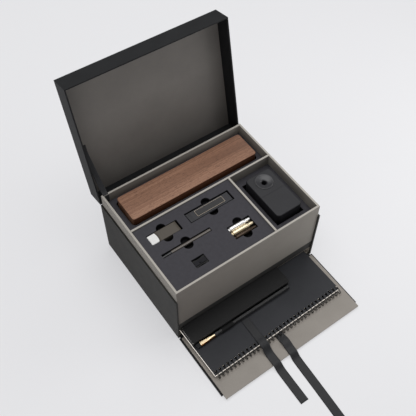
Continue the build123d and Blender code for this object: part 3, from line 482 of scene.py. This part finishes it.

# The faces that look forward are painted in a deep warm shade, and the colour is a little darker towards
# the right end.
shade_along(walnut, "Normal", "Y", -0.9, -0.3, (0.42, 0.29, 0.19))
shade_along(walnut, "Object", "X", 0.13, -0.02, (0.78, 0.72, 0.66))
dress("walnut_base", walnut, 0.0006, 3)
dress("walnut_lid", walnut, 0.0004, 3)


# Desk sharpener
# An ABS housing, moulded with a fine spark-eroded grain, over a bin for the shavings. A smoother dish
# on top, with a flared lip and a hollow cone, leads the pencil into the hole.
def metres(*millimetres):
    """A point in metres from its millimetres, the unit in which the small pieces from here on are drawn."""
    return tuple(value / 1000 for value in millimetres)


def circle(count):
    """The cosine and sine of evenly spaced angles round a full turn."""
    return [(math.cos(a), math.sin(a)) for a in (math.tau * i / count for i in range(count))]


# The housing's grain takes the shine off and leaves a soft grey bloom on its rounded edges.
grained_abs = mottled("grained_abs", "1A1A1E", "222226", 0.02, 0.0005, 0.55, depth=0.00003, specular=0.4)
dress("sharpener_body", grained_abs)
dress("sharpener_bin", grained_abs)

# The dish is smoother, so its lip catches a thin highlight, and painted shade darkens it down the cone.
satin_abs = mottled("satin_abs", "2B2B2E", "343437", 0.02, 0.0008, 0.38,
                    depth=0.00001, specular=0.7, rim=0.1528)
hole_x, hole_y, dish_sides = 105.5, -17.5, 96
# The dish's outline, as radius and height.
dish_profile = (
    (4.4, 149.9), (4.6, 150.8), (5.3, 152.0), (5.6, 152.3), (8.0, 153.1), (11.0, 154.1), (13.6, 155.0),
    (14.9, 155.6), (15.6, 156.0), (16.2, 156.05), (16.7, 155.8), (16.95, 155.3), (16.95, 154.9),
    (14.4, 154.85), (14.4, 149.9), (4.4, 149.9),
)
funnel_dish = grid_mesh("funnel_dish", [
    [metres(hole_x + radius * c, hole_y + radius * s, z) for c, s in circle(dish_sides)]
    for radius, z in dish_profile
], satin_abs, around=True)
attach(funnel_dish, "desk_sharpener")
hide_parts("sharpener_funnel")


# Eraser in its sleeve
# A block of white vinyl in a coated card sleeve, open at both ends. The sleeve's end is cut in a shallow
# scoop, so that a thumb can push the eraser along.
def arc(x, y, radius, begin, steps):
    """Points on a quarter circle round a centre, from an angle in degrees."""
    angles = (math.radians(begin + 90 * k / steps) for k in range(steps + 1))
    return [(x + radius * math.cos(a), y + radius * math.sin(a)) for a in angles]


# The vinyl is the whitest thing in the tray, slightly chalky and without a gloss.
white_vinyl = mottled("white_vinyl", "E9E8E6", "F8F7F5", 0.01, 0.0008, 0.6)
dress("eraser", white_vinyl, 0.0006, 3)

# The sleeve is a dark taupe with the low sheen of coated card.
sleeve_card = mottled("taupe_sleeve_card", "4E4841", "58524A", 0.02, 0.0006, 0.55)
sleeve_start, sleeve_length, scoop_depth = -118.1, 43.0, 1.8
sleeve_middle, sleeve_low, sleeve_high = -7.5, 143.4, 155.4
sleeve_half, bend_radius, card_thickness = 10.3, 0.5, 0.0003
flat_half = sleeve_half - bend_radius
flat_steps, row_steps, bend_steps = 12, 8, 4
section = []
for side, height, begin in ((1, sleeve_high - bend_radius, 0), (-1, sleeve_high - bend_radius, 90),
                            (-1, sleeve_low + bend_radius, 180), (1, sleeve_low + bend_radius, 270)):
    section += arc(sleeve_middle + side * flat_half, height, bend_radius, begin, bend_steps)
    if begin in (0, 180):
        level = sleeve_low if begin else sleeve_high
        section += [(sleeve_middle + side * flat_half * (1 - 2 * k / flat_steps), level)
                    for k in range(1, flat_steps)]
sleeve_rows = []
for along in (k / row_steps for k in range(row_steps + 1)):
    start, scoop = sleeve_start + sleeve_length * along, scoop_depth * (1 - along) ** 6
    sleeve_rows.append([
        metres(start + scoop * (1 - ((y - sleeve_middle) / sleeve_half) ** 2), y, z) for y, z in section
    ])
card_sleeve = grid_mesh("card_sleeve", sleeve_rows, sleeve_card, around=True)
card = card_sleeve.modifiers.new("card", "SOLIDIFY")
card.thickness = card_thickness
card.offset = -1
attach(card_sleeve, "sleeved_eraser")
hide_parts("eraser_sleeve")

# Case of leads
# A box and lid moulded in smoked polystyrene. The box is a little smaller than the pocket, so that a dark
# gap shows behind it. A label card with a thin pale border lies on its lid.

# The plastic is satin and almost black, darker still in a band across its left end, and painted shade
# darkens it down in the pocket.
smoked_styrene = mottled("smoked_polystyrene", "26262A", "2D2D32", 0.02, 0.0008, 0.45,
                         depth=0.00001, specular=0.3)
shade_along(smoked_styrene, "Object", "X", 0.0034, 0.0040, (0.72, 0.72, 0.72), middle=-0.0476)
shade_along(smoked_styrene, "Object", "Z", 0.1525, 0.1545, (0.1, 0.1, 0.1))


def piece_from(made, name, material):
    """A piece of one material from an edit mesh, which is used up."""
    mesh = bpy.data.meshes.new(name)
    made.to_mesh(mesh)
    made.free()
    mesh.materials.append(material)
    return new_object(name, mesh)


def soft_box(name, low, high, radius, material, body):
    """A box with rounded edges between two corners in millimetres, riding on a body."""
    made = bmesh.new()
    bmesh.ops.create_cube(made, size=1)
    for vertex in made.verts:
        vertex.co = Vector(((a + b) / 2 + c * (b - a)) / 1000 for a, b, c in zip(low, high, vertex.co))
    bmesh.ops.bevel(made, geom=made.edges[:], offset=radius / 1000, segments=3, profile=0.5, affect="EDGES")
    piece = piece_from(made, name, material)
    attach(piece, body)
    return piece


box_left, box_right, box_front, box_back = -53.4, 36.2, -16.9, 3.2
box_floor, box_join, cover_top, cover_step = 146.1, 153.4, 155.4, 0.5
box_edge, cover_edge = 0.5, 0.4
lead_box = soft_box("lead_box", (box_left, box_front, box_floor), (box_right, box_back, box_join), box_edge,
                    smoked_styrene, "lead_case")
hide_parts("lead_case_tray")
lead_box_cover = soft_box("lead_box_cover", (box_left + cover_step, box_front + cover_step, box_join),
                          (box_right - cover_step, box_back - cover_step, cover_top), cover_edge,
                          smoked_styrene, "lead_case_cover")
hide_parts("lead_case_lid")

# The label is a thin cream line round a field nearly as dark as the lid.
label_card = mottled("bare_label_card", "B7AA98", "C4B7A5", 0.02, 0.0006, 0.5)
inside_x = ramp_on(label_card, "Object", "X", 0.0287, 0.0283, middle=-0.0073)
inside_y = ramp_on(label_card, "Object", "Y", 0.0062, 0.0058, middle=-0.00625)
field = add(label_card.node_tree, "ShaderNodeMath", {"operation": "MULTIPLY"}, {0: inside_x, 1: inside_y})
border = add(label_card.node_tree, "ShaderNodeMath", {"operation": "SUBTRACT", 0: 1.0},
             {1: field.outputs[0]})
tint_by(label_card, border.outputs[0], (0.055, 0.062, 0.08))
dress("label_card", label_card, 0.0001)

# Pencil extender
# A turned aluminium tube, painted taupe, that holds the stub of a pencil. A dark tapered holder is
# pressed into one end.

# The paint is glossy, and light and shade are painted into its colour: a pale stripe runs along the top,
# and the tube's sides are painted into deep shade.
painted_tube = mottled("painted_tube", "57514B", "625B55", 0.02, 0.0006, 0.3, depth=0.00001, specular=0.5)
shade_along(painted_tube, "Object", "Y", 0.0028, 0.0016, (0.06, 0.06, 0.06), middle=-0.0462)
dress("extender_barrel", painted_tube, 0)

# The holder is a smooth dark plastic with a sharp highlight.
smooth_abs = mottled("smooth_abs", "1C1C1E", "242426", 0.02, 0.0008, 0.28, depth=0.00001, specular=0.5)
dress("extender_tip", smooth_abs, 0)


# Point guards
# Three turned metal caps, in silver, gold and gunmetal. Each is a plain satin barrel with a stepped collar
# at its open end and a taper to its closed end, turned and polished with fine marks round it.
def worked_metal(name, tint, low, high, marks, detail, stretch=None):
    """A bare metal with a tint, whose roughness varies between low and high in fine marks. marks is how
    many lie in a metre, and stretch draws them out."""
    material, tree, shader = new_material(name, {"Base Color": linear(tint), "Metallic": 1.0})
    place = add(tree, "ShaderNodeTexCoord").outputs["Object"]
    if stretch:
        place = add(tree, "ShaderNodeMapping", {"Scale": stretch}, {"Vector": place}).outputs["Vector"]
    noise = add(tree, "ShaderNodeTexNoise", {"Scale": marks, "Detail": detail}, {"Vector": place})
    join(tree, shader, {"Roughness": rescaled(tree, noise.outputs["Fac"], target=(low, high))})
    return material


# A cap's outline, as distance along it and radius.
guard_profile = (
    (-9.7, 2.4), (-9.8, 3.3), (-9.5, 3.8), (-7.4, 3.9), (-7.2, 3.3), (-6.4, 3.3), (-6.2, 4.4), (-5.8, 4.62),
    (10.0, 4.65), (22.5, 4.62), (23.5, 4.45), (26.0, 3.7), (28.0, 3.55), (35.2, 3.5), (36.1, 3.2),
    (36.5, 2.4), (36.55, 0.01),
)
guard_height, first_guard_y, guard_pitch, guard_sides = 151.05, -64.9, 9.6, 40

# The marks run round each cap, so that its highlight is a soft band along it.
polish_spread = 0.05
finishes = (("satin_nickel", "FBFAF9", 0.42), ("satin_brass", "F6E6C4", 0.42), ("gunmetal", "453B33", 0.38))
for number, (finish, tint, roughness) in enumerate(finishes, start=1):
    metal = worked_metal(finish, tint, roughness - polish_spread, roughness + polish_spread,
                         marks=4000, detail=1, stretch=(1, 0.1, 0.1))
    guard_y = first_guard_y - guard_pitch * (number - 1)
    cap = grid_mesh(f"turned_guard_{number}", [
        [metres(x, guard_y + radius * c, guard_height + radius * s) for c, s in circle(guard_sides)]
        for x, radius in guard_profile
    ], metal, around=True)
    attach(cap, f"guard_{number}")
    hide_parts(f"point_guard_{number}")

# Wedge sharpener
# A block of magnesium, milled to a wedge and anodised black, with a ground steel blade held by one screw.
# It lies low in its pocket.

# The wedge is a flat black with little shine.
black_wedge = mottled("black_anodised_wedge", "080809", "101011", 0.01, 0.0006, 0.5,
                      depth=0.00001, specular=0.2)
dress("wedge_body", black_wedge, 0.0003)

# The blade and its screw have a near-black tint, a painted reflection of the dark pocket, broken by fine
# grinding marks.
ground_steel = worked_metal("ground_steel", "1B1B1D", 0.25, 0.4, marks=3000, detail=1)
dress("wedge_blade", ground_steel, 0.0001)
dress("wedge_screw", ground_steel, 0.0001)

# Sketch pad
# Two smooth black card covers round a block of drawing paper, punched with a row of slots along the front
# edge for the wire. It lies turned by less than a degree, half drawn out of its compartment.
pad_turn, pad_middle_x, pad_front_y = math.radians(0.8), -2.0, -219.5
pad_half_width, pad_depth = 143.7, 198
slot_half_width, slot_front, slot_back = 2.1, 4.3, 7.9
slots_reach, slot_margin = 142, 0.1
first_loop, loop_pitch, loop_count = -138.3, 25.4 / 3, 34
loop_middles = [first_loop + loop_pitch * i for i in range(loop_count)]


def on_pad(x, y, z):
    """A point in metres, from the millimetres along and behind the middle of the pad's front edge."""
    return metres(pad_middle_x + x * math.cos(pad_turn) - y * math.sin(pad_turn),
                  pad_front_y + x * math.sin(pad_turn) + y * math.cos(pad_turn), z)


def slotted_cards(name, layers, material, within=None):
    """Stacked cards with a row of slots for the wire. Each layer is its bottom, its top and how far its
    edge is drawn in. within is the material round the slots."""
    made = bmesh.new()
    for bottom, top, inset in layers:
        half = pad_half_width - inset
        slots = [middle + side for middle in loop_middles for side in (-slot_half_width, slot_half_width)]
        columns = [-half, *slots, half]
        lines = [inset, slot_front, slot_back, pad_depth - inset]
        corners = [[made.verts.new(on_pad(x, y, bottom)) for x in columns] for y in lines]
        flat = [
            made.faces.new((corners[r][c], corners[r][c + 1], corners[r + 1][c + 1], corners[r + 1][c]))
            for r in range(3) for c in range(len(columns) - 1) if r != 1 or c % 2 == 0
        ]
        raised = bmesh.ops.extrude_face_region(made, geom=flat, use_keep_orig=True)["geom"]
        for vertex in (part for part in raised if isinstance(part, bmesh.types.BMVert)):
            vertex.co.z = top / 1000
    bmesh.ops.recalc_face_normals(made, faces=made.faces)
    piece = piece_from(made, name, material)
    if within:
        piece.data.materials.append(within)
        for face in piece.data.polygons:
            place = face.center * 1000 - Vector((pad_middle_x, pad_front_y, 0))
            behind = place.y - place.x * math.tan(pad_turn)
            among_slots = slot_front - slot_margin < behind < slot_back + slot_margin
            face.material_index = int(among_slots and abs(place.x) < slots_reach)
    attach(piece, "sketch_pad")
    return piece


# The covers are an even blue-black with a faint, smooth sheen.
cover_card = mottled("black_cover_card", "2B2C30", "35363A", 0.05, 0.0006, 0.62)
front_card = slotted_cards("pad_front_card", [(13.85, 14.7, 0.0)], cover_card)
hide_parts("pad_front_cover")
back_card = slotted_cards("pad_back_card", [(8.1, 8.95, 0.0)], cover_card)
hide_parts("pad_back_cover")
for card in (front_card, back_card):
    soften(card, 0.0002, segments=1, angle=30)

# The paper shows only its edges: a bright cream line between the covers, with finer lines of the sheets. It
# glows faintly as painted light, which keeps the line bright.
drawing_paper, tree, shader = new_material("drawing_paper", {
    "Roughness": 0.85, "Emission Color": linear("F6EFE6"), "Emission Strength": 0.42,
})
place = add(tree, "ShaderNodeTexCoord").outputs["Object"]
sheets = add(tree, "ShaderNodeTexWave", {
    "bands_direction": "Z", "Scale": 900, "Distortion": 0.4, "Detail": 2,
}, {"Vector": place})
join(tree, shader, {"Base Color": two_tones(tree, "E6E0D8", "FBF8F3", sheets.outputs["Fac"])})

# Inside the slots the paper's edge is near black, the covers' shadow painted in, so no white shows through
# them.
shaded_paper = mottled("shaded_paper", "0B0B0C", "141415", 0.01, 0.0006, 0.9, depth=0.00001, specular=0.1)
leaf_bottom, leaf_pitch, leaf_thickness, leaf_count = 9.0, 0.48, 0.46, 10
leaf_inset, leaf_stagger = 0.12, 0.1
leaves = []
for i in range(leaf_count):
    bottom = leaf_bottom + leaf_pitch * i
    leaves.append((bottom, bottom + leaf_thickness, leaf_inset + leaf_stagger * (i * 7 % 3)))
page_block = slotted_cards("pad_leaves", leaves, drawing_paper, shaded_paper)
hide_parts("pad_pages")

# Wire binding
# One black enamelled steel wire bent into closed twin fingers, three to the inch. They pass through the
# slots and over the edge, and the links between them lie under the pad.
ring_y, ring_z, ring_half_depth, ring_half_height = -0.5, 11.4, 7.4, 4.85
wire_radius, half_gap, wire_sides = 0.45, 0.68, 8
link_at, tip_at, tip_sweep, finger_steps = -105, -425, 9, 28


def on_loop(x, angle):
    """A point of the wire beside x, at an angle in degrees round the loops' long ring."""
    turn = math.radians(angle)
    behind, height = ring_half_depth * math.cos(turn), ring_half_height * math.sin(turn)
    return Vector(on_pad(x, ring_y + behind, ring_z + height))


# Each pair is a finger out, a round tip, a finger back, and a bowed link to the next pair. A link's
# points are shares of the way across and degrees of bow.
finger = [link_at + (tip_at - link_at) * k / finger_steps for k in range(finger_steps + 1)]
tip = [(math.cos(a), math.sin(a)) for a in (math.radians(d) for d in (30, 60, 90, 120, 150))]
link = ((0.08, 6), (0.22, 10), (0.5, 11), (0.78, 10), (0.92, 6))
wire_line = []
for middle in loop_middles:
    wire_line += [on_loop(middle - half_gap, angle) for angle in finger]
    wire_line += [on_loop(middle - half_gap * c, tip_at - tip_sweep * s) for c, s in tip]
    wire_line += [on_loop(middle + half_gap, angle) for angle in reversed(finger)]
    if middle < loop_middles[-1]:
        span = loop_pitch - 2 * half_gap
        wire_line += [on_loop(middle + half_gap + span * share, link_at + bow) for share, bow in link]
wire_rings = [
    [place + (side * c + ahead.cross(side) * s) * wire_radius / 1000 for c, s in circle(wire_sides)]
    for place, ahead, side in walk(wire_line)
]

# The enamel is black and half glossy, so that each finger carries a thin grey line of light.
black_enamel = mottled("black_enamelled_wire", "0C0C0D", "151516", 0.01, 0.0008, 0.35,
                       depth=0.00001, specular=0.5)
twin_wire = grid_mesh("twin_loop_wire", wire_rings, black_enamel, around=True)
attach(twin_wire, "sketch_pad")
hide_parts("wire_binding")

# Slim case
# A flat black leatherette case with a hinged cover over a card liner, and an elastic loop that is sewn to
# its front and holds the pencil.

# The leatherette is nearly black, with a fine pressed grain.
leatherette = mottled("black_leatherette", "0B0B0C", "131314", 0.01, 0.0009, 0.5,
                      depth=0.0001, specular=0.35)
dress("slim_case_base", leatherette, 0.0006, 3)
dress("slim_case_cover", leatherette, 0.0003, 3)
dress("slim_case_liner", leatherette, 0.0002)

# The liner's bare card flange lies between base and cover. Shade is painted on it everywhere but the left
# end, so its cut edge shows pale at the left end only.
bare_card = mottled("bare_liner_card", "E9E4DA", "F3EFE7", 0.02, 0.0006, 0.7)
shade_along(bare_card, "Object", "X", -0.1440, -0.1446, (0.1, 0.1, 0.1))
# Each corner's centre has the angle where its arc begins. The ring's section is drawn by radius and height.
flange_corners = ((66.2, -122, 0), (-143.8, -122, 90), (-143.8, -153.5, 180), (66.2, -153.5, 270))
flange_low, flange_high, outer_radius, inner_radius, corner_steps = 26.35, 27.4, 2.9, 0.4, 3
flange_rows = [
    [metres(x, y, z) for corner_x, corner_y, begin in flange_corners
     for x, y in arc(corner_x, corner_y, radius, begin, corner_steps)]
    for radius, z in ((outer_radius, flange_low), (outer_radius, flange_high), (inner_radius, flange_high),
                      (inner_radius, flange_low), (outer_radius, flange_low))
]
liner_flange = grid_mesh("slim_liner_flange", flange_rows, bare_card, around=True)
liner_flange.data.polygons.foreach_set("use_smooth", [False] * len(liner_flange.data.polygons))
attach(liner_flange, "slim_case")

# The elastic is a matt black knit.
elastic = mottled("black_elastic", "0A0A0B", "121213", 0.003, 0.0006, 0.7, depth=0.0001)
dress("pen_loop", elastic, 0.0002)

# Pencil
# A six-sided wooden pencil in black lacquer. A flat brass ferrule is crimped round its end and holds a
# flat black eraser.

# The lacquer is smooth enough for a thin line of light along its edges.
black_lacquer = mottled("black_lacquer", "161617", "1E1E1F", 0.02, 0.0008, 0.25,
                        depth=0.00001, specular=0.5)
dress("pencil_barrel", black_lacquer, 0.0004, 3)

# The lead is a dull dark grey.
graphite = mottled("graphite", "2B2B2D", "38383A", 0.002, 0.0005, 0.4)
dress("pencil_lead", graphite, 0)

# The brass is bright along its middle, and painted shade turns it a deep bronze towards its sides.
polished_brass = worked_metal("polished_brass", "F7E2BC", 0.15, 0.3, marks=600, detail=2)
shade_along(polished_brass, "Object", "Y", 0.0031, 0.0022, (0.22, 0.1, 0.03), middle=-0.1612)
dress("pencil_ferrule", polished_brass, 0.0002)

# The eraser is a soft black without a highlight.
black_rubber = mottled("black_rubber", "1D1D1E", "272728", 0.005, 0.0006, 0.7)
dress("pencil_eraser", black_rubber, 0.0005, 3)
